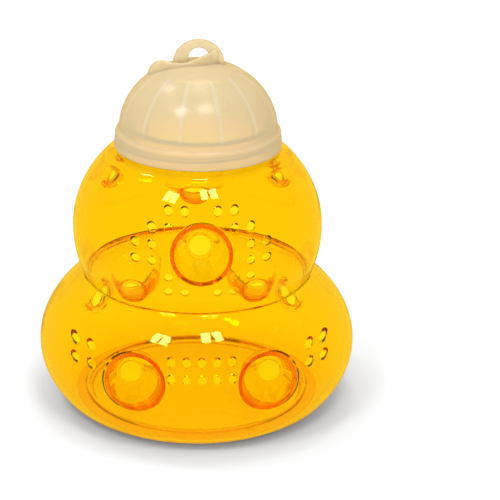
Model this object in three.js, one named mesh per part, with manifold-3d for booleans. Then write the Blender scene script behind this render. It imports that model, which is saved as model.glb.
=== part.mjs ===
// A two-storey wasp trap: two clear amber shells, one lapped into the other at the waist, a screw cap with
// a hanging loop, and funnels that let wasps in and keep them in. Millimetres, +Z up, the front is -Y, and
// the origin is the middle of the base.
import * as THREE from 'three';
import { mergeVertices } from 'three/addons/utils/BufferGeometryUtils.js';
import Module from 'manifold-3d';

const wasm = await Module();
wasm.setup();

// ---------------------------------------------------------------- driving dimensions

const GAP = 0.3; // clearance between pieces that touch
const WALL = 1.8; // moulded wall thickness
const ROUND_SIDES = 36; // facets round the shells and the cap
const ARC_STEPS = 6; // steps along one radian of an arc in a profile

// Each storey's outer wall is an ellipse turned round Z: the height where it is widest, its radius there,
// and its height above and below.
const LOWER = { middle: 31.5, radius: 81.3, above: 53.9, below: 52.1 };
const UPPER = { middle: 93.8, radius: 63.5, above: 56.1, below: 62.6 };
const WAIST_Z = 68.8; // the lower storey's top rim

const FOOT_RADIUS = 63.5;
const FOOT_THICKNESS = 1.5;
const BASE_HOLE_RADIUS = 58.3;
const BASE_PLUG_HEIGHT = 5;
const BASE_FLOOR_Z = 1;
const BASE_Z = FOOT_THICKNESS + GAP; // the underside of the lower shell

const TONGUE_RADIUS = 57.3; // the upper storey's tongue, which drops into the lower storey's rim
const TONGUE_DEPTH = 2.2;
const RIM_HOLE_RADIUS = TONGUE_RADIUS + GAP;

const NECK_RADIUS = 36;
const NECK_TOP = 147;
const SHOULDER_Z = 133.7;

const CAP_RIM_Z = 136.4;
const CAP_BAND_RADIUS = 42.4; // at the rim; the band tapers by the next figure
const CAP_BAND_TAPER = 0.9;
const CAP_DOME = { middle: 144.5, radius: 39.9, above: 35.3, below: 35.3 };
const CAP_THREAD_ROOM = 40.1; // the band's inner radius
const RIB_COUNT = 12;
const RIB_WIDTH = 1.2;
const RIB_DEPTH = 1.8;
const RIB_TOP_RADIUS = 19; // the ribs stop at a ring rib of this radius

const LINER_THICKNESS = 1.4;
const LINER_RADIUS = 36.8;

const THREAD_LEAD = 5; // rise in one turn
const THREAD_TURNS = 1.2;
const THREAD_HALF_ROOT = 1;
const THREAD_HALF_CREST = 0.5;
const NECK_THREAD = { root: 35.4, crest: 37.4, start: 139.6, firstTurn: 0 };
const CAP_THREAD = { root: 40.7, crest: 36.8, start: 139.6 - THREAD_LEAD / 2, firstTurn: 1 / 6 };

const LOOP_RADIUS = 12.9;
const LOOP_CENTRE_Z = 177.7;
const LOOP_THICKNESS = 3.2;
const LOOP_HOLE_RADIUS = 4.95;
const LOOP_HOLE_CENTRE_Z = 181.9;
const LOOP_HOLE_FOOT_Z = 179; // just under the crown, so that the dome closes the hole
const LIP_THICKNESS = 2.2;
// The lip's crest, from its low end on the left, round the front, to the loop's right leg.
const LIP_CREST = [[-24.6, 4.5, 172], [-23.1, 1.2, 177.4], [-19.7, -2, 180.7], [-13.2, -4.7, 180.4],
  [-6.8, -6.2, 180.6], [-1.4, -6.2, 182.7], [4, -4.6, 184.5], [8.4, -1.4, 186.4]];

// Funnels: the rim's outer radius and the mouth, how far in each runs straight before it narrows, the whole
// length, the inner end, the throat through it, and the degrees that the funnel points down on its way in.
const FUNNEL_END_WALL = 1.2;
const LARGE = {
  rim: 15.4, mouth: 13.4, bore: 1, collar: 4.5, length: 24.6, end: 8.4, throat: 5.25, droop: 9.2,
};
const LOWER_LARGE = { ...LARGE, rim: 14.3, mouth: 12.5, bore: 7, collar: 11, droop: 12 };
const SMALL = { rim: 8.75, mouth: 6.4, bore: 1, collar: 3, length: 5.5, end: 7.4, throat: 5.2, droop: 9.2 };
const FUNNEL_SIDES = 18;
const RIM_PROUD = 0.4; // how far a funnel's rim stands out of the wall
// Bearings are degrees from the front, positive towards +X. A funnel points at the axis unless it has an aim:
// the lower storey's large funnels run nearly straight from front to back, and spread a little.
const FUNNELS = {
  upper_front_funnel: { storey: UPPER, size: LARGE, bearing: 0, z: 100.8 },
  upper_back_funnel: { storey: UPPER, size: LARGE, bearing: 180, z: 100.8 },
  upper_side_left_funnel: { storey: UPPER, size: SMALL, bearing: -132, z: 107.5 },
  upper_side_right_funnel: { storey: UPPER, size: SMALL, bearing: 132, z: 107.5 },
  lower_front_left_funnel: { storey: LOWER, size: LOWER_LARGE, bearing: -23.7, aim: 5, z: 38.8 },
  lower_front_right_funnel: { storey: LOWER, size: LOWER_LARGE, bearing: 23.7, aim: -5, z: 38.8 },
  lower_back_left_funnel: { storey: LOWER, size: LOWER_LARGE, bearing: -156.3, aim: 175, z: 38.8 },
  lower_back_right_funnel: { storey: LOWER, size: LOWER_LARGE, bearing: 156.3, aim: -175, z: 38.8 },
  lower_side_left_funnel: { storey: LOWER, size: SMALL, bearing: -137, z: 29 },
  lower_side_right_funnel: { storey: LOWER, size: SMALL, bearing: 137, z: 29 },
};

// Vents: round holes bored straight back through the front wall.
const VENT_RADIUS = 2.1;
const VENT_SIDES = 8;
const VENT_LENGTH = 100;
const UPPER_VENT_PITCH = 7.95;
const UPPER_VENT_ROWS = [ // offset from the front funnel's height, and the columns on each side
  { rise: 3.9, columns: [3, 4] },
  { rise: 11.9, columns: [2, 3] },
  { rise: 19.6, columns: [1, 2] },
];
const LOWER_VENT_HEIGHTS = [42.2, 49.8];
const LOWER_VENT_PITCH = 7.4;
const SIDE_VENT_COLUMNS = [53.65, 61.4]; // distances from the middle plane

// ---------------------------------------------------------------- solids

function solidOf(geometry) {
  geometry.deleteAttribute('normal');
  geometry.deleteAttribute('uv');
  const merged = mergeVertices(geometry, 1e-4);
  const vertProperties = new Float32Array(merged.attributes.position.array);
  const triVerts = new Uint32Array(merged.index.array);
  const build = () => new wasm.Manifold(new wasm.Mesh({ numProp: 3, vertProperties, triVerts }));
  const solid = build();
  if (solid.volume() > 0) return solid;
  for (let i = 0; i < triVerts.length; i += 3) {
    [triVerts[i], triVerts[i + 1]] = [triVerts[i + 1], triVerts[i]];
  }
  return build();
}

function geometryOf(solid) {
  const { vertProperties, triVerts } = solid.getMesh();
  const geometry = new THREE.BufferGeometry();
  geometry.setAttribute('position', new THREE.BufferAttribute(vertProperties, 3));
  geometry.setIndex(new THREE.BufferAttribute(triVerts, 1));
  geometry.computeVertexNormals();
  return geometry;
}

const joined = (solids) => solids.reduce((sum, solid) => sum.add(solid));

// A profile of [radius, z] points turned round Z. It closes on itself unless it starts on the axis.
function turned(profile, sides = ROUND_SIDES) {
  const points = profile.map(([r, z]) => new THREE.Vector2(r, z));
  if (points[0].x > 0) points.push(points[0].clone());
  return solidOf(new THREE.LatheGeometry(points, sides).rotateX(Math.PI / 2));
}

// A solid through matching rings of points, closed by a flat face at each end.
function lofted(rings) {
  const size = rings[0].length;
  const positions = rings.flat().flatMap((p) => [p.x, p.y, p.z]);
  const index = [];
  for (let ring = 0; ring < rings.length - 1; ring++) {
    for (let k = 0; k < size; k++) {
      const [a, b] = [ring * size + k, ring * size + ((k + 1) % size)];
      index.push(a, b, b + size, a, b + size, a + size);
    }
  }
  const last = (rings.length - 1) * size;
  for (let k = 1; k < size - 1; k++) {
    index.push(0, k + 1, k, last, last + k, last + k + 1);
  }
  const geometry = new THREE.BufferGeometry();
  geometry.setAttribute('position', new THREE.Float32BufferAttribute(positions, 3));
  geometry.setIndex(index);
  return solidOf(geometry);
}

// The same wall measured a distance inside its outer face.
const inset = (wall, depth) => ({
  middle: wall.middle, radius: wall.radius - depth, above: wall.above - depth, below: wall.below - depth,
});

function radiusAt({ middle, radius, above, below }, z) {
  const half = z > middle ? above : below;
  return radius * Math.sqrt(1 - ((z - middle) / half) ** 2);
}

// The height at which a wall above its widest height has a given radius.
const heightAt = ({ middle, radius, above }, r) => middle + above * Math.sqrt(1 - (r / radius) ** 2);

// Profile points along an elliptical wall, evenly spaced in angle on each side of its widest height.
function arc(wall, fromZ, toZ) {
  const { middle, radius, above, below } = wall;
  const angleAt = (z) => Math.asin(Math.min(1, (z - middle) / (z > middle ? above : below)));
  const [from, to] = [angleAt(fromZ), angleAt(toZ)];
  const steps = Math.max(2, Math.round(ARC_STEPS * Math.abs(to - from)));
  const points = [];
  for (let i = 0; i <= steps; i++) {
    const angle = from + ((to - from) * i) / steps;
    const half = angle > 0 ? above : below;
    points.push([radius * Math.cos(angle), middle + half * Math.sin(angle)]);
  }
  return points;
}

// ---------------------------------------------------------------- threads

function threadRidge({ root, crest, start, firstTurn }) {
  const stepsPerTurn = 20;
  const steps = Math.round(THREAD_TURNS * stepsPerTurn);
  const rings = [];
  for (let i = 0; i <= steps; i++) {
    const turn = firstTurn + i / stepsPerTurn;
    const z = start + turn * THREAD_LEAD;
    const point = (r, dz) => new THREE.Vector3(
      r * Math.cos(2 * Math.PI * turn), r * Math.sin(2 * Math.PI * turn), z + dz);
    rings.push([point(root, -THREAD_HALF_ROOT), point(crest, -THREAD_HALF_CREST),
      point(crest, THREAD_HALF_CREST), point(root, THREAD_HALF_ROOT)]);
  }
  return lofted(rings);
}

// ---------------------------------------------------------------- funnels

const funnelAxis = ({ size, bearing, aim = bearing }) => {
  const [turn, droop] = [aim, size.droop].map(THREE.MathUtils.degToRad);
  return new THREE.Vector3(
    -Math.sin(turn) * Math.cos(droop), Math.cos(turn) * Math.cos(droop), -Math.sin(droop));
};

// The frame of a funnel: its origin on the outer wall, its +Z along the way in.
function funnelFrame(funnel) {
  const turn = THREE.MathUtils.degToRad(funnel.bearing);
  const r = radiusAt(funnel.storey, funnel.z);
  const origin = new THREE.Vector3(r * Math.sin(turn), -r * Math.cos(turn), funnel.z);
  const up = new THREE.Vector3(0, 0, 1);
  const turnedInward = new THREE.Quaternion().setFromUnitVectors(up, funnelAxis(funnel));
  return new THREE.Matrix4().compose(origin, turnedInward, new THREE.Vector3(1, 1, 1));
}

// The solid inside a storey's outer wall, grown by a little, without its ends.
function storeyBody(wall, proud) {
  const grown = inset(wall, -proud);
  const [bottom, top] = [grown.middle - 0.9 * grown.below, grown.middle + 0.9 * grown.above];
  return turned([[0, bottom], ...arc(grown, bottom, top), [0, top]]);
}

// A funnel in its own frame, its rim cut to the curve of the wall it sits in.
function funnelSolid(funnel) {
  const { rim, mouth, bore, collar, length, end, throat } = funnel.size;
  const outside = -12;
  const floor = length - FUNNEL_END_WALL;
  const floorRadius = Math.max(end - WALL, throat + 0.3);
  const blank = turned([[mouth, outside], [rim, outside], [rim, collar], [end, length], [throat, length],
    [throat, floor], [floorRadius, floor], [mouth, bore]], FUNNEL_SIDES);
  const wall = storeyBody(funnel.storey, RIM_PROUD).transform(funnelFrame(funnel).invert().elements);
  return blank.intersect(wall);
}

function funnelHole(funnel) {
  const r = funnel.size.rim + GAP;
  return turned([[0, -16], [r, -16], [r, 16], [0, 16]], FUNNEL_SIDES).transform(funnelFrame(funnel).elements);
}

const funnelHoles = (storey) => Object.values(FUNNELS).filter((f) => f.storey === storey).map(funnelHole);

// ---------------------------------------------------------------- shells

function vent(x, z) {
  const hole = new THREE.CylinderGeometry(VENT_RADIUS, VENT_RADIUS, VENT_LENGTH, VENT_SIDES);
  return solidOf(hole.translate(x, -VENT_LENGTH / 2, z));
}

const bothSides = (xs) => xs.flatMap((x) => [x, -x]);

function upperVents() {
  const middleZ = FUNNELS.upper_front_funnel.z;
  return UPPER_VENT_ROWS.flatMap(({ rise, columns }) => [middleZ - rise, middleZ + rise].flatMap((z) =>
    bothSides(columns).map((column) => vent(column * UPPER_VENT_PITCH, z))));
}

function lowerVents() {
  const middle = [0, ...bothSides([1, 2])].map((column) => column * LOWER_VENT_PITCH);
  const columns = [...middle, ...bothSides(SIDE_VENT_COLUMNS)];
  return LOWER_VENT_HEIGHTS.flatMap((z) => columns.map((x) => vent(x, z)));
}

function lowerShell() {
  const inner = inset(LOWER, WALL);
  const underside = 65.4; // radius of the flat underside, where the wall begins to rise
  const shell = turned([
    [BASE_HOLE_RADIUS, BASE_Z], [underside, BASE_Z], [underside + 2, BASE_Z + 0.8],
    ...arc(LOWER, BASE_Z + 2.4, WAIST_Z), [RIM_HOLE_RADIUS, WAIST_Z],
    ...arc(inner, heightAt(inner, RIM_HOLE_RADIUS), BASE_Z + 3.2), [underside - 0.4, BASE_Z + WALL],
    [BASE_HOLE_RADIUS, BASE_Z + WALL],
  ]);
  return shell.subtract(joined([...funnelHoles(LOWER), ...lowerVents()]));
}

function upperShell() {
  const inner = inset(UPPER, WALL);
  const restZ = WAIST_Z + GAP;
  const shell = turned([
    [TONGUE_RADIUS, restZ - TONGUE_DEPTH], [TONGUE_RADIUS, restZ],
    ...arc(UPPER, restZ, UPPER.middle), ...arc(UPPER, UPPER.middle, SHOULDER_Z).slice(1),
    [NECK_RADIUS + 1, SHOULDER_Z + 1.1], [NECK_RADIUS, SHOULDER_Z + 2], [NECK_RADIUS, NECK_TOP],
    [NECK_RADIUS - WALL, NECK_TOP], [NECK_RADIUS - WALL, SHOULDER_Z],
    ...arc(inner, SHOULDER_Z - 1.6, UPPER.middle), ...arc(inner, UPPER.middle, restZ - TONGUE_DEPTH).slice(1),
  ]);
  return shell.subtract(joined([...funnelHoles(UPPER), ...upperVents()])).add(threadRidge(NECK_THREAD));
}

function basePan() {
  const plug = BASE_HOLE_RADIUS - GAP;
  const floorTop = BASE_FLOOR_Z + WALL;
  return turned([
    [0, BASE_FLOOR_Z], [FOOT_RADIUS - 9, BASE_FLOOR_Z], [FOOT_RADIUS - 8, 0], [FOOT_RADIUS, 0],
    [FOOT_RADIUS, FOOT_THICKNESS], [plug, FOOT_THICKNESS], [plug, BASE_PLUG_HEIGHT],
    [plug - WALL, BASE_PLUG_HEIGHT], [plug - WALL, floorTop], [0, floorTop],
  ]);
}

// ---------------------------------------------------------------- cap

function rib(bearing) {
  const inner = inset(CAP_DOME, WALL);
  const footZ = NECK_TOP + GAP + LINER_THICKNESS + 2 * GAP;
  const topZ = heightAt(inner, RIB_TOP_RADIUS);
  const across = new THREE.Vector3(-Math.sin(bearing), Math.cos(bearing), 0);
  const rings = arc(inner, footZ, topZ).map(([r, z], i) => {
    const outward = i === 0 ? new THREE.Vector2(1, 0)
      : new THREE.Vector2(r / inner.radius ** 2, (z - inner.middle) / inner.above ** 2).normalize();
    const corner = (depth, side) => new THREE.Vector3(
      (r - outward.x * depth) * Math.cos(bearing), (r - outward.x * depth) * Math.sin(bearing),
      z - outward.y * depth).addScaledVector(across, (side * RIB_WIDTH) / 2);
    return [corner(-0.9, -1), corner(-0.9, 1), corner(RIB_DEPTH, 1), corner(RIB_DEPTH, -1)];
  });
  return lofted(rings);
}

// The ring rib under the crown that the other ribs run up to.
function ringRib() {
  const inner = inset(CAP_DOME, WALL);
  const corner = (side, rise) => {
    const r = RIB_TOP_RADIUS + (side * RIB_WIDTH) / 2;
    return [r, heightAt(inner, r) + rise];
  };
  return turned([corner(-1, -RIB_DEPTH), corner(1, -RIB_DEPTH), corner(1, 0.9), corner(-1, 0.9)]);
}

function loopTab() {
  const foot = CAP_DOME.middle + CAP_DOME.above - 3.1;
  const shape = new THREE.Shape();
  shape.moveTo(-LOOP_RADIUS, foot);
  shape.lineTo(LOOP_RADIUS, foot);
  shape.absarc(0, LOOP_CENTRE_Z, LOOP_RADIUS, 0, Math.PI, false);
  const hole = new THREE.Path();
  hole.moveTo(LOOP_HOLE_RADIUS, LOOP_HOLE_FOOT_Z);
  hole.lineTo(-LOOP_HOLE_RADIUS, LOOP_HOLE_FOOT_Z);
  hole.absarc(0, LOOP_HOLE_CENTRE_Z, LOOP_HOLE_RADIUS, Math.PI, 0, true);
  shape.holes.push(hole);
  const tab = new THREE.ExtrudeGeometry(shape, { depth: LOOP_THICKNESS, bevelEnabled: false, curveSegments: 10 });
  return solidOf(tab.rotateX(Math.PI / 2).translate(0, LOOP_THICKNESS / 2, 0));
}

function lip() {
  const crest = new THREE.CatmullRomCurve3(LIP_CREST.map((p) => new THREE.Vector3(...p)));
  const rings = crest.getPoints(12).map((top, i, all) => {
    const [before, after] = [all[Math.max(0, i - 1)], all[Math.min(all.length - 1, i + 1)]];
    const side = new THREE.Vector3(before.y - after.y, after.x - before.x, 0).setLength(LIP_THICKNESS / 2);
    const foot = new THREE.Vector3(top.x, top.y, heightAt(CAP_DOME, Math.hypot(top.x, top.y)) - 1);
    return [foot.clone().add(side), foot.clone().sub(side), top.clone().sub(side), top.clone().add(side)];
  });
  return lofted(rings);
}

function cap() {
  const inner = inset(CAP_DOME, WALL);
  const crown = CAP_DOME.middle + CAP_DOME.above;
  const bandTop = CAP_BAND_RADIUS - CAP_BAND_TAPER;
  const outside = turned([[0, CAP_RIM_Z], [CAP_BAND_RADIUS, CAP_RIM_Z], [bandTop, CAP_DOME.middle - 0.1],
    [bandTop - 0.7, CAP_DOME.middle + 0.8], ...arc(CAP_DOME, CAP_DOME.middle + 1.1, crown)]);
  const hollow = turned([[0, CAP_RIM_Z - 5], [CAP_THREAD_ROOM, CAP_RIM_Z - 5],
    [CAP_THREAD_ROOM, CAP_DOME.middle - 1], ...arc(inner, CAP_DOME.middle + 0.1, crown - WALL)]);
  const ribs = Array.from({ length: RIB_COUNT }, (_, i) => rib(((i + 0.5) * 2 * Math.PI) / RIB_COUNT));
  const body = joined([outside, loopTab(), lip()]).subtract(hollow);
  return joined([body, ...ribs, ringRib(), threadRidge(CAP_THREAD)]);
}

function capLiner() {
  const z = NECK_TOP + GAP;
  const hole = NECK_RADIUS - WALL;
  const top = z + LINER_THICKNESS;
  return turned([[hole, z], [LINER_RADIUS, z], [LINER_RADIUS, top], [hole, top]]);
}

// ---------------------------------------------------------------- the trap

const amber = () => new THREE.MeshStandardMaterial({
  color: '#f9c000', roughness: 0.12, metalness: 0, transparent: true, opacity: 0.6 });
const darkAmber = () => new THREE.MeshStandardMaterial({
  color: '#f08000', roughness: 0.12, metalness: 0, transparent: true, opacity: 0.8 });
const frosted = () => new THREE.MeshStandardMaterial({ color: '#f2dcb8', roughness: 0.45, metalness: 0 });
const soft = () => new THREE.MeshStandardMaterial({ color: '#e9e2d2', roughness: 0.8, metalness: 0 });

function piece(name, solid, material, frame) {
  const mesh = new THREE.Mesh(geometryOf(solid), material);
  mesh.name = name;
  if (frame) frame.decompose(mesh.position, mesh.quaternion, mesh.scale);
  return mesh;
}

const funnelPieces = (storey) => Object.entries(FUNNELS).filter(([, f]) => f.storey === storey)
  .map(([name, f]) => piece(name, funnelSolid(f), darkAmber(), funnelFrame(f)));

const lowerStorey = new THREE.Group();
lowerStorey.add(piece('lower_shell', lowerShell(), amber()), piece('base_pan', basePan(), amber()));
lowerStorey.add(...funnelPieces(LOWER));

const closure = new THREE.Group();
closure.add(piece('cap', cap(), frosted()), piece('cap_liner', capLiner(), soft()));

const upperStorey = new THREE.Group();
upperStorey.add(piece('upper_shell', upperShell(), amber()), ...funnelPieces(UPPER), closure);

const waspTrap = new THREE.Group();
waspTrap.add(lowerStorey, upperStorey);

export default waspTrap;
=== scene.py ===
import math

import bmesh
import bpy
from mathutils import Matrix, Quaternion, Vector


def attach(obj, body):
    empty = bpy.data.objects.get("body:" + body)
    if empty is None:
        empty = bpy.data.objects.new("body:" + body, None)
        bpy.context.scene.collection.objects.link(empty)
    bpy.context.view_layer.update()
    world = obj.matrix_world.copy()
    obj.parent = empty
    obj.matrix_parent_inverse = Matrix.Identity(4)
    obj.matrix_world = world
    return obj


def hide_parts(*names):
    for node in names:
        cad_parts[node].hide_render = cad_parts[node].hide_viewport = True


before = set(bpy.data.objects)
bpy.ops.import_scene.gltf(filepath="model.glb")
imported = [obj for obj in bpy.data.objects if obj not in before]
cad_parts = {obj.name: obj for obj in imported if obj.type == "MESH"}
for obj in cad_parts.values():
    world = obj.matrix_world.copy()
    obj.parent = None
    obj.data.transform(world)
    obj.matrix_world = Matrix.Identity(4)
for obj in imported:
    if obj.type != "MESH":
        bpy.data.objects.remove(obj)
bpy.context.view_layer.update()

MM = 0.001

# ---------------------------------------------------------------- driving dimensions, in millimetres

WALL = 1.8
GAP = 0.3
ROUND_SIDES = 224
ARC_STEP = math.radians(1.6)

# A storey's outer wall is an ellipse turned round Z: middle height, radius, height above and below.
LOWER = (31.5, 81.3, 53.9, 52.1)
UPPER = (93.8, 63.5, 56.1, 62.6)
DOME = (144.5, 39.9, 35.3, 35.3)

FOOT = 63.5
FOOT_THICKNESS = 1.5
BASE_FLOOR_Z = 1.0
PLUG_TOP = 5.0
BASE_HOLE = 58.3
BASE_Z = 1.8
UNDERSIDE = 65.4
WAIST_Z = 68.8
TONGUE = 57.3
TONGUE_DEPTH = 2.2
RIM_HOLE = TONGUE + GAP
NECK = 36.0
NECK_TOP = 147.0
SHOULDER_Z = 133.7

CAP_RIM_Z = 136.4
CAP_BAND = 42.4
CAP_BAND_TOP = 41.5
CAP_THREAD_ROOM = 40.1
RIB_COUNT = 12
RIB_TOP_RADIUS = 19.0

LINER_THICKNESS = 1.4
LINER_RADIUS = NECK + 0.8

THREAD_LEAD = 5.0
THREAD_TURNS = 1.2
THREAD_START = 139.6

LOOP_RADIUS = 12.9
LOOP_Z = 177.7
LOOP_THICKNESS = 3.2
LOOP_HOLE = 4.95
LOOP_HOLE_Z = 181.9
LOOP_HOLE_FOOT_Z = 179.0

LARGE = dict(rim=15.4, mouth=13.4, bore=2.5, collar=4.5, length=24.6, end=8.4, throat=5.25, droop=9.2)
LOWER_LARGE = {**LARGE, "rim": 14.3, "mouth": 12.5, "bore": 7.5, "collar": 11.0, "droop": 12.0}
SMALL = dict(rim=8.75, mouth=6.4, bore=2.5, collar=3.0, length=5.5, end=7.4, throat=5.2, droop=9.2)
END_WALL = 1.2
RIM_PROUD = 0.4
HOLE_REACH = 16  # how far a funnel's hole is cut on each side of its place on the wall
# Name: storey, size, bearing from the front in degrees, height, and the bearing that its axis runs from.
FUNNELS = {
    "upper_front_funnel": (UPPER, LARGE, 0, 100.8, 0),
    "upper_back_funnel": (UPPER, LARGE, 180, 100.8, 180),
    "upper_side_left_funnel": (UPPER, SMALL, -132, 107.5, -132),
    "upper_side_right_funnel": (UPPER, SMALL, 132, 107.5, 132),
    "lower_front_left_funnel": (LOWER, LOWER_LARGE, -23.7, 38.8, 5),
    "lower_front_right_funnel": (LOWER, LOWER_LARGE, 23.7, 38.8, -5),
    "lower_back_left_funnel": (LOWER, LOWER_LARGE, -156.3, 38.8, 175),
    "lower_back_right_funnel": (LOWER, LOWER_LARGE, 156.3, 38.8, -175),
    "lower_side_left_funnel": (LOWER, SMALL, -137, 29.0, -137),
    "lower_side_right_funnel": (LOWER, SMALL, 137, 29.0, 137),
}

VENT_RADIUS = 2.1
VENT_LENGTH = 100
UPPER_VENT_PITCH = 7.95
UPPER_VENT_ROWS = ((3.9, (3, 4)), (11.9, (2, 3)), (19.6, (1, 2)))
LOWER_VENT_HEIGHTS = (42.2, 49.8)
LOWER_VENT_PITCH = 7.4
SIDE_VENT_COLUMNS = (53.65, 61.4)

# ---------------------------------------------------------------- mesh helpers


def new_object(name, verts, faces):
    """A mesh object from points in millimetres, its faces turned outward."""
    mesh = bpy.data.meshes.new(name)
    mesh.from_pydata([tuple(c * MM for c in v) for v in verts], [], faces)
    work = bmesh.new()
    work.from_mesh(mesh)
    bmesh.ops.remove_doubles(work, verts=work.verts, dist=1e-7)
    bmesh.ops.recalc_face_normals(work, faces=work.faces)
    if work.calc_volume(signed=True) < 0:
        bmesh.ops.reverse_faces(work, faces=work.faces)
    work.to_mesh(mesh)
    work.free()
    piece = bpy.data.objects.new(name, mesh)
    bpy.context.scene.collection.objects.link(piece)
    return piece


def rounded(profile, steps=6):
    """A profile of (r, z) or (r, z, fillet) points with each fillet drawn as a short curve."""
    plain = [Vector(p[:2]) for p in profile]
    out = []
    for i, corner in enumerate(profile):
        if len(corner) < 3:
            out.append(tuple(plain[i]))
            continue
        here, before, after = plain[i], plain[i - 1], plain[(i + 1) % len(plain)]
        start = here + (before - here).normalized() * corner[2]
        end = here + (after - here).normalized() * corner[2]
        for k in range(steps + 1):
            t = k / steps
            out.append(tuple(start * (1 - t) ** 2 + here * 2 * t * (1 - t) + end * t * t))
    return out


def radius_at(wall, z):
    middle, radius, above, below = wall
    half = above if z > middle else below
    return radius * math.sqrt(1 - ((z - middle) / half) ** 2)


def height_at(wall, r):
    """The height at which a wall, above its widest height, has a given radius."""
    return wall[0] + wall[2] * math.sqrt(1 - (r / wall[1]) ** 2)


def inset(wall, depth):
    middle, radius, above, below = wall
    return (middle, radius - depth, above - depth, below - depth)


def arc(wall, from_z, to_z):
    """Profile points along an elliptical wall between two heights."""
    middle, radius, above, below = wall

    def angle_at(z):
        return math.asin(max(-1, min(1, (z - middle) / (above if z > middle else below))))

    start, end = angle_at(from_z), angle_at(to_z)
    steps = max(2, round(abs(end - start) / ARC_STEP))
    points = []
    for i in range(steps + 1):
        angle = start + (end - start) * i / steps
        half = above if angle > 0 else below
        points.append((max(0.0, radius * math.cos(angle)), middle + half * math.sin(angle)))
    return points


def turned(name, profile, sides=ROUND_SIDES):
    """A profile turned round Z. It closes on itself unless it starts and ends on the axis."""
    on_axis = profile[0][0] < 1e-6
    verts, faces = [], []
    for k in range(sides):
        a = 2 * math.pi * k / sides
        verts += [(r * math.sin(a), -r * math.cos(a), z) for r, z in profile]
    n = len(profile)
    for k in range(sides):
        here, there = k * n, ((k + 1) % sides) * n
        for i in range(n - 1 if on_axis else n):
            j = (i + 1) % n
            if profile[i][0] < 1e-6:
                faces.append((here + i, there + j, here + j))
            elif profile[j][0] < 1e-6:
                faces.append((here + i, there + i, here + j))
            else:
                faces.append((here + i, there + i, there + j, here + j))
    return new_object(name, verts, faces)


def lofted(name, rings):
    """A solid through matching rings of points, with a flat face at each end."""
    n = len(rings[0])
    verts = [tuple(p) for ring in rings for p in ring]
    faces = [tuple(reversed(range(n))), tuple(range((len(rings) - 1) * n, len(rings) * n))]
    for r in range(len(rings) - 1):
        for k in range(n):
            a, b = r * n + k, r * n + (k + 1) % n
            faces.append((a, b, b + n, a + n))
    return new_object(name, verts, faces)


def merged(name, pieces):
    """Several separate objects as one object."""
    work = bmesh.new()
    for piece in pieces:
        work.from_mesh(piece.data)
        bpy.data.objects.remove(piece)
    mesh = bpy.data.meshes.new(name)
    work.to_mesh(mesh)
    work.free()
    joined = bpy.data.objects.new(name, mesh)
    bpy.context.scene.collection.objects.link(joined)
    return joined


def applied(piece):
    """The piece with its modifiers made part of its mesh."""
    graph = bpy.context.evaluated_depsgraph_get()
    mesh = bpy.data.meshes.new_from_object(piece.evaluated_get(graph))
    piece.modifiers.clear()
    piece.data = mesh
    return piece


def combined(piece, tool, operation):
    """Cuts or joins the piece with a tool object, which is then deleted."""
    step = piece.modifiers.new("combine", "BOOLEAN")
    step.operation = operation
    step.solver = "MANIFOLD"
    step.object = tool
    applied(piece)
    bpy.data.objects.remove(tool)
    return piece


def smoothed(piece, sharp_degrees=32):
    piece.data.shade_smooth()
    piece.data.set_sharp_from_angle(angle=math.radians(sharp_degrees))
    return piece


def evened(piece):
    """The piece with its shading led by its large faces, so that thin ones leave no creases."""
    even = piece.modifiers.new("even", "WEIGHTED_NORMAL")
    even.mode = "FACE_AREA"
    even.weight = 50
    even.keep_sharp = True
    return applied(piece)


# ---------------------------------------------------------------- funnels


def funnel_frame(funnel):
    """Where a funnel's own axis starts on the wall, with its +Z along the way in."""
    storey, size, bearing, z, aim = FUNNELS[funnel]
    turn, aim, droop = (math.radians(a) for a in (bearing, aim, size["droop"]))
    inward = Vector((-math.sin(aim) * math.cos(droop), math.cos(aim) * math.cos(droop), -math.sin(droop)))
    r = radius_at(storey, z)
    place = Matrix.Translation((r * math.sin(turn), -r * math.cos(turn), z))
    return place @ inward.to_track_quat("Z", "Y").to_matrix().to_4x4()


def wall_depth(storey, place, inward):
    """How far along inward a point of a storey's outer wall lies from place."""
    middle = storey[0]
    for half, above in ((storey[2], True), (storey[3], False)):
        scale = Vector((1 / storey[1], 1 / storey[1], 1 / half))
        o = (place - Vector((0, 0, middle))) * scale
        d = inward * scale
        a, b, c = d.dot(d), 2 * o.dot(d), o.dot(o) - 1
        depth = (-b - math.sqrt(max(0.0, b * b - 4 * a * c))) / (2 * a)
        if ((place + inward * depth).z >= middle) == above:
            return depth
    return 0.0


def funnel_piece(name, sides=112):
    """A funnel with a rounded rim that follows the curve of its wall."""
    storey, size = FUNNELS[name][:2]
    placed = funnel_frame(name)
    inward = placed.to_3x3() @ Vector((0, 0, 1))
    end_hole = max(size["end"] - WALL, size["throat"] + 0.3)
    outline = rounded([
        (size["mouth"], -RIM_PROUD, 0.6), (size["rim"], -RIM_PROUD, 0.6), (size["rim"], size["collar"] / 2),
        (size["rim"], size["collar"], 1.5), (size["end"], size["length"], 0.5),
        (size["throat"], size["length"], 0.4), (size["throat"], size["length"] - END_WALL, 0.4),
        (end_hole, size["length"] - END_WALL, 0.5), (size["mouth"] - 0.3, size["bore"], 1.5)])
    straight = size["collar"] - 0.5
    verts, faces = [], []
    n = len(outline)
    for k in range(sides):
        a = 2 * math.pi * k / sides
        for r, h in outline:
            across = Vector((r * math.cos(a), r * math.sin(a), 0))
            follow = max(0.0, min(1.0, (straight - h) / straight))
            depth = wall_depth(storey, placed @ across, inward)
            verts.append(tuple(placed @ (across + Vector((0, 0, h + depth * follow)))))
    for k in range(sides):
        here, there = k * n, ((k + 1) % sides) * n
        for i in range(n):
            j = (i + 1) % n
            faces.append((here + i, there + i, there + j, here + j))
    return smoothed(new_object(name + "_fine", verts, faces))


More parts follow.
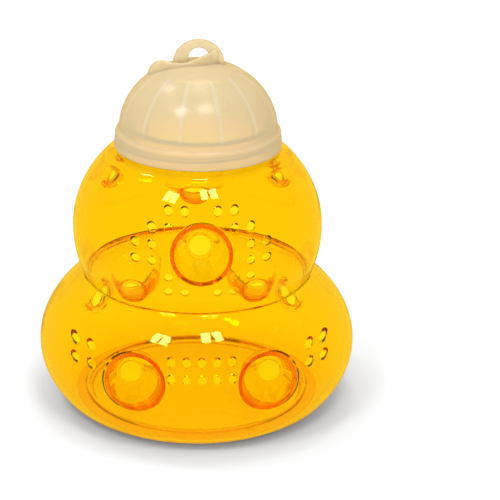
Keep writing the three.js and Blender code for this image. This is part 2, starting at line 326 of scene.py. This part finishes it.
def funnel_hole(name):
    size = FUNNELS[name][1]
    r = size["rim"] + GAP
    hole = turned("hole", [(0, -HOLE_REACH), (r, -HOLE_REACH), (r, HOLE_REACH), (0, HOLE_REACH)], 112)
    placed = funnel_frame(name)
    placed.translation = placed.translation * MM
    hole.data.transform(placed)
    return hole


def funnel_holes(storey):
    return merged("funnel_holes", [funnel_hole(n) for n, f in FUNNELS.items() if f[0] == storey])


# ---------------------------------------------------------------- shells


def vent(x, z):
    cutter = turned("vent", [(0, -VENT_LENGTH), (VENT_RADIUS, -VENT_LENGTH), (VENT_RADIUS, 0), (0, 0)], 28)
    along_y = Matrix.Rotation(math.pi / 2, 4, "X").inverted()
    cutter.data.transform(Matrix.Translation((x * MM, 0, z * MM)) @ along_y)
    return cutter


def upper_vents():
    middle = FUNNELS["upper_front_funnel"][3]
    return merged("vents", [
        vent(side * column * UPPER_VENT_PITCH, middle + way * rise)
        for rise, columns in UPPER_VENT_ROWS for column in columns for side in (-1, 1) for way in (-1, 1)])


def lower_vents():
    columns = [column * LOWER_VENT_PITCH for column in (-2, -1, 0, 1, 2)]
    columns += [side * x for x in SIDE_VENT_COLUMNS for side in (-1, 1)]
    return merged("vents", [vent(x, z) for z in LOWER_VENT_HEIGHTS for x in columns])


def lower_shell():
    inner = inset(LOWER, WALL)
    shell = turned("lower_shell_fine", rounded([
        (BASE_HOLE, BASE_Z, 0.4), (UNDERSIDE + 1, BASE_Z, 2.0), *arc(LOWER, BASE_Z + 2.2, WAIST_Z - 0.4),
        (radius_at(LOWER, WAIST_Z), WAIST_Z, 0.25), (RIM_HOLE, WAIST_Z, 0.2),
        *arc(inner, height_at(inner, RIM_HOLE), BASE_Z + 3.4), (UNDERSIDE, BASE_Z + WALL, 1.6),
        (BASE_HOLE, BASE_Z + WALL, 0.4)]))
    combined(shell, lower_vents(), "DIFFERENCE")
    combined(shell, funnel_holes(LOWER), "DIFFERENCE")
    return smoothed(shell)


def upper_shell():
    inner = inset(UPPER, WALL)
    rest = WAIST_Z + GAP
    shell = turned("upper_shell_fine", rounded([
        (TONGUE, rest - TONGUE_DEPTH, 0.3), (TONGUE, rest, 0.15), (radius_at(UPPER, rest), rest, 0.2),
        *arc(UPPER, rest + 0.4, SHOULDER_Z - 2.4),
        (44.4, SHOULDER_Z + 0.3, 2.6), (NECK, SHOULDER_Z + 1.6, 0.8), (NECK, NECK_TOP, 0.4),
        (NECK - WALL, NECK_TOP, 0.4), (NECK - WALL, SHOULDER_Z - 0.5, 2.0),
        (42.6, SHOULDER_Z - 1.4, 2.6), *arc(inner, SHOULDER_Z - 4.2, rest - TONGUE_DEPTH)]))
    combined(shell, upper_vents(), "DIFFERENCE")
    combined(shell, funnel_holes(UPPER), "DIFFERENCE")
    combined(shell, thread_ridge(NECK - 0.6, NECK + 1.4, THREAD_START, 0.0), "UNION")
    return smoothed(shell)


def base_pan():
    plug = BASE_HOLE - GAP
    floor_top = BASE_FLOOR_Z + WALL
    return smoothed(turned("base_pan_fine", rounded([
        (0, BASE_FLOOR_Z), (FOOT - 9, BASE_FLOOR_Z, 0.5), (FOOT - 8, 0, 0.5), (FOOT, 0, 0.6),
        (FOOT, FOOT_THICKNESS, 0.6), (plug, FOOT_THICKNESS, 0.3), (plug, PLUG_TOP, 0.85),
        (plug - WALL, PLUG_TOP, 0.85), (plug - WALL, floor_top, 1.0), (0, floor_top)])))


# ---------------------------------------------------------------- cap


def thread_ridge(root, crest, start, first_turn):
    """A right-hand thread: a ridge that climbs as it goes round."""
    steps_per_turn = 120
    rings = []
    for i in range(round(THREAD_TURNS * steps_per_turn) + 1):
        turn = first_turn + i / steps_per_turn
        fade = min(1.0, i / 8, (THREAD_TURNS * steps_per_turn - i) / 8)
        top = root + (crest - root) * max(0.15, math.sin(fade * math.pi / 2))
        section = ((root, -1.0), (top, -0.5), (top, 0.5), (root, 1.0))
        a = 2 * math.pi * turn
        rings.append([(r * math.cos(a), r * math.sin(a), start + turn * THREAD_LEAD + dz) for r, dz in section])
    return lofted("thread", rings)


def rib(bearing):
    inner = inset(DOME, WALL)
    top = height_at(inner, RIB_TOP_RADIUS)
    foot = NECK_TOP + 3 * GAP + LINER_THICKNESS
    across = Vector((-math.sin(bearing), math.cos(bearing), 0))
    section = ((-0.9, -0.7), (-0.9, 0.7), (1.3, 0.6), (1.7, 0.35), (1.8, 0), (1.7, -0.35), (1.3, -0.6))
    rings = []
    for i, (r, z) in enumerate(arc(inner, foot, top)):
        out = Vector((r / inner[1] ** 2, (z - inner[0]) / inner[2] ** 2)).normalized() if i else Vector((1, 0))
        rings.append([
            Vector(((r - out.x * depth) * math.cos(bearing), (r - out.x * depth) * math.sin(bearing),
                    z - out.y * depth)) + across * side for depth, side in section])
    return lofted("rib", rings)


def ring_rib():
    """The ring under the crown that the ribs run up to."""
    inner = inset(DOME, WALL)
    return turned("ring_rib", [
        (RIB_TOP_RADIUS + side, height_at(inner, RIB_TOP_RADIUS + side) + rise)
        for side, rise in ((-0.6, -1.4), (-0.3, -1.8), (0.3, -1.8), (0.6, -1.4), (0.6, 0.9), (-0.6, 0.9))])


def loop_tab():
    """The arched tab with its hole, its edges rounded."""
    foot = DOME[0] + DOME[2] - 3.1
    outline = [(-LOOP_RADIUS, foot), (LOOP_RADIUS, foot)]
    outline += [(LOOP_RADIUS * math.cos(a), LOOP_Z + LOOP_RADIUS * math.sin(a))
                for a in (math.pi * k / 48 for k in range(49))]
    inside = [(-LOOP_HOLE, LOOP_HOLE_FOOT_Z), (LOOP_HOLE, LOOP_HOLE_FOOT_Z)]
    inside += [(LOOP_HOLE * math.cos(a), LOOP_HOLE_Z + LOOP_HOLE * math.sin(a))
               for a in (math.pi * k / 32 for k in range(33))]

    def slab(name, points, half):
        return lofted(name, [[(x, y, z) for x, z in points] for y in (-half, half)])

    tab = combined(slab("tab", outline, LOOP_THICKNESS / 2), slab("tab_hole", inside, 5.0), "DIFFERENCE")
    soften = tab.modifiers.new("soften", "BEVEL")
    soften.width = 0.9 * MM
    soften.segments = 5
    soften.limit_method = "ANGLE"
    soften.angle_limit = math.radians(60)
    return applied(tab)


LIP_CREST = ((-24.6, 4.5, 172), (-23.1, 1.2, 177.4), (-19.7, -2, 180.7), (-13.2, -4.7, 180.4),
             (-6.8, -6.2, 180.6), (-1.4, -6.2, 182.7), (4, -4.6, 184.5), (8.4, -1.4, 186.4))


def spline(points, steps):
    """Points along a smooth curve through the given ones."""
    pts = [Vector(p) for p in points]
    padded = [pts[0] * 2 - pts[1], *pts, pts[-1] * 2 - pts[-2]]
    out = []
    for i in range(1, len(padded) - 2):
        a, b, c, d = padded[i - 1:i + 3]
        for k in range(steps):
            t = k / steps
            out.append(0.5 * (2 * b + (c - a) * t + (2 * a - 5 * b + 4 * c - d) * t ** 2
                              + (3 * b - a - 3 * c + d) * t ** 3))
    return [*out, pts[-1]]


def lip():
    """The curled wall that runs round the front of the loop."""
    crest = spline(LIP_CREST, 8)
    rings = []
    for i, top in enumerate(crest):
        ahead = crest[min(i + 1, len(crest) - 1)] - crest[max(i - 1, 0)]
        side = Vector((-ahead.y, ahead.x, 0)).normalized()
        base = Vector((top.x, top.y, height_at(DOME, math.hypot(top.x, top.y)) - 1.0))
        section = [base + side * 1.4, base - side * 1.4]
        for k in range(9):
            a = math.pi * k / 8
            section.append(top - side * math.cos(a) * 1.1 + Vector((0, 0, math.sin(a) * 1.1 - 1.1)))
        rings.append(section)
    return lofted("lip", rings)


def cap():
    inner = inset(DOME, WALL)
    crown = DOME[0] + DOME[2]
    piece = turned("cap_fine", rounded([
        (0, CAP_RIM_Z), (CAP_BAND, CAP_RIM_Z, 0.6), (CAP_BAND_TOP, DOME[0], 0.8),
        (CAP_BAND_TOP - 1.1, DOME[0] + 0.8, 0.6), *arc(DOME, DOME[0] + 2.0, crown)]))
    hollow = turned("hollow", rounded([
        (0, CAP_RIM_Z - 5), (CAP_THREAD_ROOM, CAP_RIM_Z - 5), (CAP_THREAD_ROOM, DOME[0] - 1.0, 0.6),
        *arc(inner, DOME[0] + 0.1, crown - WALL)]))
    combined(piece, loop_tab(), "UNION")
    combined(piece, lip(), "UNION")
    combined(piece, hollow, "DIFFERENCE")
    ribs = merged("ribs", [rib((i + 0.5) * 2 * math.pi / RIB_COUNT) for i in range(RIB_COUNT)])
    combined(piece, ribs, "UNION")
    combined(piece, ring_rib(), "UNION")
    combined(piece, thread_ridge(40.7, NECK + 0.8, THREAD_START - THREAD_LEAD / 2, 1 / 6), "UNION")
    return evened(smoothed(piece))


def cap_liner():
    low = NECK_TOP + GAP
    high = low + LINER_THICKNESS
    hole = NECK - WALL
    return smoothed(turned("cap_liner_fine", rounded([
        (hole, low, 0.3), (LINER_RADIUS, low, 0.3), (LINER_RADIUS, high, 0.3), (hole, high, 0.3)])))


# ---------------------------------------------------------------- materials


CAP_COLOUR = (0.99, 0.8, 0.46)
# Painted light: the paler colour over the ribs, for light that the thicker plastic scatters.
RIB_SCATTERED_LIGHT_COLOUR = (1.0, 0.9, 0.64)


def shader_tree(name):
    mat = bpy.data.materials.new(name)
    mat.use_nodes = True
    nodes = mat.node_tree.nodes
    return mat, nodes, mat.node_tree.links, nodes["Principled BSDF"]


def noise(nodes, links, scale, detail, roughness=0.5):
    place = nodes.new("ShaderNodeTexCoord")
    field = nodes.new("ShaderNodeTexNoise")
    field.inputs["Scale"].default_value = scale
    field.inputs["Detail"].default_value = detail
    field.inputs["Roughness"].default_value = roughness
    links.new(place.outputs["Object"], field.inputs["Vector"])
    return field


def spread(nodes, links, source, low, high):
    """A noise value stretched to run from low to high."""
    step = nodes.new("ShaderNodeMapRange")
    step.inputs["From Min"].default_value = 0.3
    step.inputs["From Max"].default_value = 0.7
    step.inputs["To Min"].default_value = low
    step.inputs["To Max"].default_value = high
    links.new(source, step.inputs["Value"])
    return step.outputs["Result"]


def bumped(nodes, links, shader, height, distance, strength=1.0):
    bump = nodes.new("ShaderNodeBump")
    bump.inputs["Strength"].default_value = strength
    bump.inputs["Distance"].default_value = distance
    links.new(height, bump.inputs["Height"])
    links.new(bump.outputs["Normal"], shader.inputs["Normal"])


def clear_plastic(name, absorbed_per_mm, tint):
    """Clear coloured plastic. Its colour deepens with the length of plastic that the light crosses."""
    mat, nodes, links, shader = shader_tree(name)
    shader.inputs["Base Color"].default_value = (*tint, 1)
    shader.inputs["Transmission Weight"].default_value = 1.0
    shader.inputs["IOR"].default_value = 1.47
    shader.inputs["Specular Tint"].default_value = (1, 0.88, 0.35, 1)
    # Faint smears from handling and the slow waves of a moulded wall.
    smears = noise(nodes, links, 60, 4, 0.6)
    links.new(spread(nodes, links, smears.outputs["Fac"], 0.012, 0.05), shader.inputs["Roughness"])
    waves = noise(nodes, links, 45, 1)
    bumped(nodes, links, shader, waves.outputs["Fac"], 0.00035, 0.35)
    strongest = max(absorbed_per_mm) * 1.01
    volume = nodes.new("ShaderNodeVolumeAbsorption")
    volume.inputs["Color"].default_value = (*[1 - a / strongest for a in absorbed_per_mm], 1)
    volume.inputs["Density"].default_value = strongest / MM
    links.new(volume.outputs["Volume"], nodes["Material Output"].inputs["Volume"])
    return mat


def calc(nodes, links, operation, first, second=0.0):
    step = nodes.new("ShaderNodeMath")
    step.operation = operation
    for socket, value in zip(step.inputs, (first, second)):
        if isinstance(value, (int, float)):
            socket.default_value = value
        else:
            links.new(value, socket)
    return step.outputs[0]


def ramp_between(nodes, links, source, start, end):
    """0 where the source is at start or beyond, 1 where it is at end or beyond, smooth between."""
    step = nodes.new("ShaderNodeMapRange")
    step.interpolation_type = "SMOOTHSTEP"
    step.inputs["From Min"].default_value = min(start, end)
    step.inputs["From Max"].default_value = max(start, end)
    step.inputs["To Min"].default_value = float(start > end)
    step.inputs["To Max"].default_value = float(start < end)
    links.new(source, step.inputs["Value"])
    return step.outputs["Result"]


def frosted_plastic():
    """Natural, uncoloured moulded plastic with a fine satin grain, and painted light: paler over the ribs."""
    mat, nodes, links, shader = shader_tree("frosted_cap")
    place = nodes.new("ShaderNodeTexCoord")
    parts = nodes.new("ShaderNodeSeparateXYZ")
    links.new(place.outputs["Object"], parts.inputs[0])
    x, y, z = parts.outputs
    squares = [calc(nodes, links, "MULTIPLY", c, c) for c in (x, y)]
    reach = calc(nodes, links, "SQRT", calc(nodes, links, "ADD", *squares))
    turn = calc(nodes, links, "SUBTRACT", calc(nodes, links, "ARCTAN2", y, x), math.pi / RIB_COUNT)
    wave = calc(nodes, links, "SINE", calc(nodes, links, "MULTIPLY", turn, RIB_COUNT / 2))
    beside = calc(nodes, links, "MULTIPLY", calc(nodes, links, "ABSOLUTE", wave), reach)
    on_rib = ramp_between(nodes, links, beside, 1.5 * MM * RIB_COUNT / 2, 0.4 * MM * RIB_COUNT / 2)
    past_top = ramp_between(nodes, links, reach, RIB_TOP_RADIUS * MM, (RIB_TOP_RADIUS + 1.5) * MM)
    past_foot = ramp_between(nodes, links, z, (NECK_TOP + 1) * MM, (NECK_TOP + 4) * MM)
    ribbed = calc(nodes, links, "MULTIPLY", on_rib, calc(nodes, links, "MULTIPLY", past_top, past_foot))
    cloud = noise(nodes, links, 30, 1)
    mottle = spread(nodes, links, cloud.outputs["Fac"], 0.02, 0.1)
    # Painted light: the colour runs paler over the ribs, standing in for light that thicker plastic scatters.
    level = calc(nodes, links, "ADD", calc(nodes, links, "MULTIPLY", ribbed, 0.7), mottle)
    ramp = nodes.new("ShaderNodeValToRGB")
    ramp.color_ramp.elements[0].color = (*CAP_COLOUR, 1)
    ramp.color_ramp.elements[1].color = (*RIB_SCATTERED_LIGHT_COLOUR, 1)
    links.new(level, ramp.inputs["Fac"])
    links.new(ramp.outputs["Color"], shader.inputs["Base Color"])
    shader.inputs["Transmission Weight"].default_value = 0.5
    shader.inputs["IOR"].default_value = 1.45
    grain = noise(nodes, links, 900, 4, 0.6)
    links.new(spread(nodes, links, cloud.outputs["Fac"], 0.2, 0.28), shader.inputs["Roughness"])
    bumped(nodes, links, shader, grain.outputs["Fac"], 0.00012, 0.3)
    return mat


def soft_liner():
    mat, nodes, links, shader = shader_tree("liner")
    mottle = noise(nodes, links, 300, 3)
    ramp = nodes.new("ShaderNodeValToRGB")
    ramp.color_ramp.elements[0].color = (0.62, 0.55, 0.44, 1)
    ramp.color_ramp.elements[1].color = (0.7, 0.64, 0.53, 1)
    links.new(mottle.outputs["Fac"], ramp.inputs["Fac"])
    links.new(ramp.outputs["Color"], shader.inputs["Base Color"])
    links.new(spread(nodes, links, mottle.outputs["Fac"], 0.7, 0.9), shader.inputs["Roughness"])
    bumped(nodes, links, shader, mottle.outputs["Fac"], 0.0002, 0.4)
    return mat


AMBER = clear_plastic("amber_shell", (0.002, 0.024, 0.5), (1, 0.775, 0.02))
DEEP_AMBER = clear_plastic("amber_funnel", (0.004, 0.05, 1.0), (1, 0.85, 0.06))
FROSTED = frosted_plastic()
LINER = soft_liner()


def finished(piece, node, body, material):
    piece.data.materials.clear()
    piece.data.materials.append(material)
    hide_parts(node)
    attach(piece, body)


finished(lower_shell(), "lower_shell", "lower_storey", AMBER)
finished(base_pan(), "base_pan", "lower_storey", AMBER)
finished(upper_shell(), "upper_shell", "upper_storey", AMBER)
for funnel_name in FUNNELS:
    storey_body = "upper_storey" if funnel_name.startswith("upper") else "lower_storey"
    finished(funnel_piece(funnel_name), funnel_name, storey_body, DEEP_AMBER)
finished(cap(), "cap", "cap", FROSTED)
finished(cap_liner(), "cap_liner", "liner", LINER)

# ---------------------------------------------------------------- studio


STUDIO_COLOUR = (1.08, 1.08, 1.08)
MIRRORED_COLOUR = (0.85, 0.5, 0.1)


def studio_light(nodes, links, paths):
    """The light of the surroundings: white, but dim and warm where they are mirrored in a surface."""
    glossy, crossed = paths.outputs["Is Glossy Ray"], paths.outputs["Is Transmission Ray"]
    mirrored = calc(nodes, links, "SUBTRACT", glossy, crossed)
    blend = nodes.new("ShaderNodeMix")
    blend.data_type = "RGBA"
    links.new(mirrored, blend.inputs["Factor"])
    blend.inputs[6].default_value = (*STUDIO_COLOUR, 1)
    blend.inputs[7].default_value = (*MIRRORED_COLOUR, 1)
    return blend.outputs[2]


def pale_floor():
    half = 3.0
    mesh = bpy.data.meshes.new("floor")
    corners = [(-half, -half, 0), (half, -half, 0), (half, half, 0), (-half, half, 0)]
    mesh.from_pydata(corners, [], [(0, 1, 2, 3)])
    floor = bpy.data.objects.new("floor", mesh)
    bpy.context.scene.collection.objects.link(floor)
    mat, nodes, links, shader = shader_tree("pale_floor")
    shader.inputs["Base Color"].default_value = (0.78, 0.78, 0.78, 1)
    shader.inputs["Emission Color"].default_value = (1, 1, 1, 1)
    shader.inputs["Emission Strength"].default_value = 0.09
    shader.inputs["Roughness"].default_value = 0.9
    shader.inputs["Specular IOR Level"].default_value = 0.1
    # Light that comes off the floor by way of the trap is an even glow, with a painted amber shadow under the
    # trap itself.
    paths = nodes.new("ShaderNodeLightPath")
    glow = nodes.new("ShaderNodeEmission")
    place = nodes.new("ShaderNodeTexCoord")
    reach = nodes.new("ShaderNodeVectorMath")
    reach.operation = "LENGTH"
    links.new(place.outputs["Object"], reach.inputs[0])
    under = nodes.new("ShaderNodeMix")
    under.data_type = "RGBA"
    under.blend_type = "MULTIPLY"
    links.new(ramp_between(nodes, links, reach.outputs["Value"], 0.115, 0.05), under.inputs["Factor"])
    links.new(studio_light(nodes, links, paths), under.inputs[6])
    # Painted amber shadow: the glow takes this colour near the trap's axis.
    under.inputs[7].default_value = (0.93, 0.8, 0.35, 1)
    links.new(under.outputs[2], glow.inputs["Color"])
    either = nodes.new("ShaderNodeMixShader")
    links.new(paths.outputs["Is Camera Ray"], either.inputs[0])
    links.new(glow.outputs[0], either.inputs[1])
    links.new(shader.outputs[0], either.inputs[2])
    links.new(either.outputs[0], nodes["Material Output"].inputs["Surface"])
    floor.data.materials.append(mat)


def white_studio():
    world = bpy.data.worlds.new("studio")
    world.use_nodes = True
    bpy.context.scene.world = world
    nodes, links = world.node_tree.nodes, world.node_tree.links
    paths = nodes.new("ShaderNodeLightPath")
    links.new(studio_light(nodes, links, paths), nodes["Background"].inputs["Color"])


def softbox(name, bearing, elevation, width, height, power):
    """A soft light at a bearing from the front and a height above the horizon, in degrees, facing the trap."""
    distance, aim = 1.5, Vector((0, 0, 0.085))
    a, e = math.radians(bearing), math.radians(elevation)
    way = Vector((math.sin(a) * math.cos(e), -math.cos(a) * math.cos(e), math.sin(e)))
    data = bpy.data.lights.new(name, "AREA")
    data.shape = "RECTANGLE"
    data.size, data.size_y = width, height
    data.energy = power
    light = bpy.data.objects.new(name, data)
    light.location = aim + way * distance
    light.rotation_mode = "QUATERNION"
    light.rotation_quaternion = way.to_track_quat("Z", "Y")
    bpy.context.scene.collection.objects.link(light)


pale_floor()
white_studio()
softbox("left_softbox_a", -45, 53, 0.13, 0.27, 2.0)
softbox("left_softbox_b", -35, 53, 0.13, 0.27, 2.0)
softbox("front_softbox_a", 8.5, 60, 0.14, 0.27, 2.2)
softbox("front_softbox_b", 23.5, 60, 0.14, 0.27, 2.2)
softbox("back_softbox_a", -119, 58, 0.2, 0.2, 1.5)
softbox("back_softbox_b", 170, 80, 0.2, 0.2, 1.5)

# ---------------------------------------------------------------- camera

AIM_HEIGHT = 0.0834  # the point of the axis that the view is measured from
DISTANCE = 1.026
AZIMUTH = math.radians(-1.9)
ELEVATION = math.radians(21.755)
ROLL = math.radians(0.992)
FRAMING = (0.02696, -0.00419)  # how far the middle of the picture is to the right of and above that point

towards = Vector((math.sin(AZIMUTH) * math.cos(ELEVATION), -math.cos(AZIMUTH) * math.cos(ELEVATION),
                  math.sin(ELEVATION)))
camera = bpy.data.objects.new("camera", bpy.data.cameras.new("camera"))
camera.data.lens = 144
camera.data.sensor_width = 36
camera.location = Vector((0, 0, AIM_HEIGHT)) + towards * DISTANCE
right = Vector((math.cos(AZIMUTH), math.sin(AZIMUTH), 0))
above = towards.cross(right)
target = Vector((0, 0, AIM_HEIGHT)) + right * FRAMING[0] + above * FRAMING[1]
camera.rotation_mode = "QUATERNION"
camera.rotation_quaternion = (target - camera.location).to_track_quat("-Z", "Y") @ Quaternion((0, 0, 1), ROLL)
bpy.context.scene.collection.objects.link(camera)
bpy.context.scene.camera = camera

scene = bpy.context.scene
scene.view_settings.view_transform = "Standard"
scene.cycles.max_bounces = 28
scene.cycles.glossy_bounces = 26
scene.cycles.transmission_bounces = 26
scene.cycles.transparent_max_bounces = 16
scene.cycles.caustics_refractive = False
